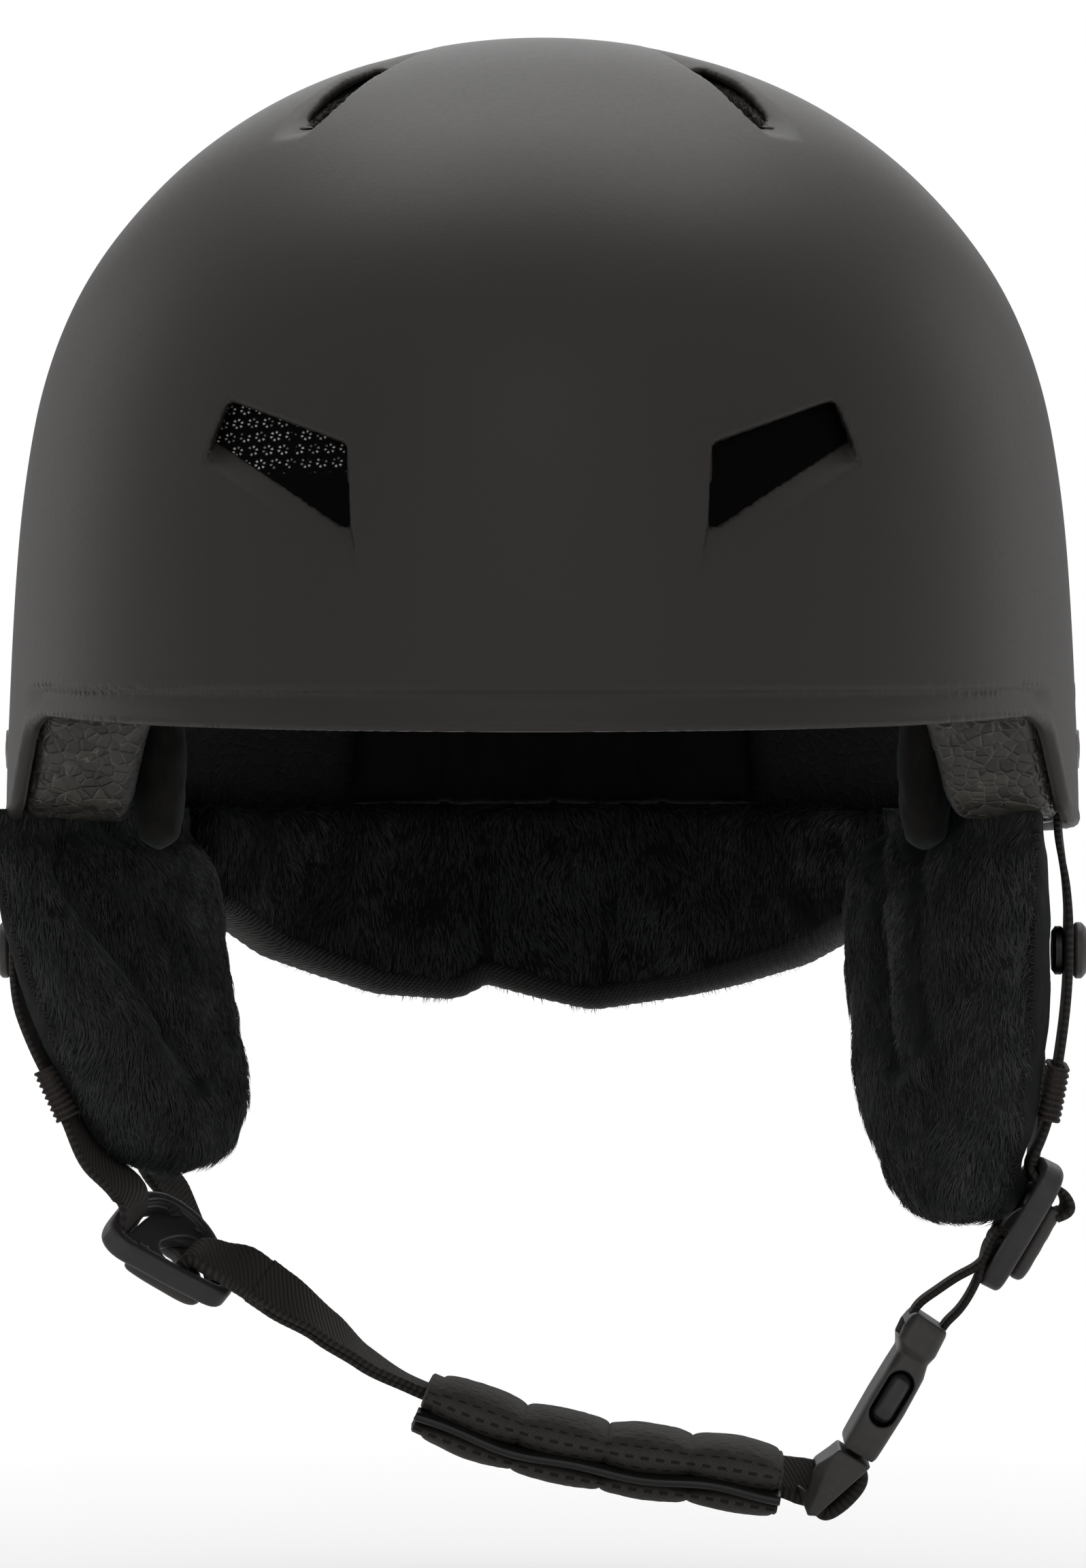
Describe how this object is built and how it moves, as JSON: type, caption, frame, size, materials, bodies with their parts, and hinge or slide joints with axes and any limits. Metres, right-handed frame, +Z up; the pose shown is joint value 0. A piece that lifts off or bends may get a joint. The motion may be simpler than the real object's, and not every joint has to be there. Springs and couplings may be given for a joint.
{
  "type": "ski helmet",
  "caption": "Ski helmet with a domed hard shell over a foam liner, plush ear pads and neck liner, strap dividers, a padded chin strap with side-release buckle and a rear goggle clip.",
  "frame": {"origin": "the point on the centreline where the crown pad rests on the top of the head", "axes": "+Z up, the face opening looks along -Y, the wearer's left is +X"},
  "size_m": [0.2204, 0.2848, 0.3008],
  "materials": {
    "shell": "matte, fine texture",
    "foam": "moulded bead foam",
    "vent_mesh": "woven mesh",
    "comfort_fabric": "brushed pile",
    "plush": "deep plush pile",
    "webbing": "ribbed weave",
    "chin_fabric": "perforated mesh knit",
    "elastic": "ribbed elastic",
    "moulded": "satin moulded plastic",
    "steel": "blackened rim"
  },
  "bodies": {
    "root": {"outer_shell": "shell", "eps_liner": "foam", "front_vent_mesh_right": "vent_mesh", "front_vent_mesh_left": "vent_mesh", "brow_pad": "comfort_fabric", "crown_pad": "comfort_fabric", "side_pad_right": "comfort_fabric", "side_pad_left": "comfort_fabric", "nape_pad": "comfort_fabric", "temple_pad_right": "comfort_fabric", "temple_pad_left": "comfort_fabric", "ear_pad_left": "plush", "ear_pad_right": "plush", "neck_liner": "plush", "strap_front_right": "webbing", "strap_rear_right": "webbing", "strap_front_left": "webbing", "strap_rear_left": "webbing", "strap_rivets": "steel", "rivet_washers": "steel", "liner_plugs": "moulded", "snap_caps": "moulded", "snap_sockets": "steel", "strap_keeper_right": "elastic", "strap_keeper_left": "elastic", "strap_divider_right": "moulded", "strap_divider_left": "moulded", "divider_pins": "moulded", "lower_loop_right": "webbing", "lower_loop_left": "webbing", "goggle_retainer_base": "moulded", "goggle_retainer_pin": "steel", "goggle_retainer_stud": "moulded"},
    "goggle_retainer": {"goggle_retainer_strap": "moulded", "goggle_retainer_cap": "moulded"},
    "lever_right": {"divider_lever_right": "moulded"},
    "lever_left": {"divider_lever_left": "moulded"},
    "strap_end": {"chin_webbing_end": "webbing"},
    "chin_strap": {"chin_webbing_free": "webbing", "chin_webbing_core": "webbing", "chin_pad": "chin_fabric", "buckle_plug": "moulded", "plug_webbing_loop": "webbing"},
    "prong_front": {"buckle_prong_front": "moulded"},
    "prong_rear": {"buckle_prong_rear": "moulded"},
    "socket_side": {"buckle_socket": "moulded", "socket_strand_inner": "webbing", "socket_strand_outer": "webbing"}
  },
  "joints": [
    {"name": "goggle_retainer_flip", "type": "hinge", "parent": "root", "child": "goggle_retainer", "pos_m": [0, 0.1444, -0.062], "axis": [1, 0, 0], "range_deg": [0, 110]},
    {"name": "divider_lock_right", "type": "hinge", "parent": "root", "child": "lever_right", "pos_m": [-0.07422, -0.00269, -0.21345], "axis": [0.7782, 0, -0.628], "range_deg": [0, 75]},
    {"name": "divider_lock_left", "type": "hinge", "parent": "root", "child": "lever_left", "pos_m": [0.09893, -0.00287, -0.20911], "axis": [0.4472, 0, 0.8944], "range_deg": [0, 75]},
    {"name": "chin_strap_swing", "type": "hinge", "parent": "root", "child": "strap_end", "pos_m": [0, -0.017, -0.2162], "axis": [1, 0, 0], "range_deg": [-60, 40]},
    {"name": "buckle_release", "type": "slide", "parent": "strap_end", "child": "chin_strap", "axis": [-0.5151, 0, -0.8571], "range_m": [0, 0.024], "deforming": ["chin_webbing_free", "buckle_prong_front", "buckle_prong_rear"]},
    {"name": "prong_front_squeeze", "type": "hinge", "parent": "chin_strap", "child": "prong_front", "pos_m": [0.06371, -0.0221, -0.25361], "axis": [-0.8571, 0, 0.5151], "range_deg": [0, 9], "stiffness_Nm_per_rad": 0.02},
    {"name": "prong_rear_squeeze", "type": "hinge", "parent": "chin_strap", "child": "prong_rear", "pos_m": [0.06371, -0.0119, -0.25361], "axis": [0.8571, 0, -0.5151], "range_deg": [0, 9], "stiffness_Nm_per_rad": 0.02},
    {"name": "socket_swing", "type": "hinge", "parent": "root", "child": "socket_side", "pos_m": [0.088, -0.017, -0.2162], "axis": [1, 0, 0], "range_deg": [-60, 40]}
  ],
  "couplings": [
    {"joint": "socket_swing", "follows": "chin_strap_swing", "ratio": 1}
  ]
}
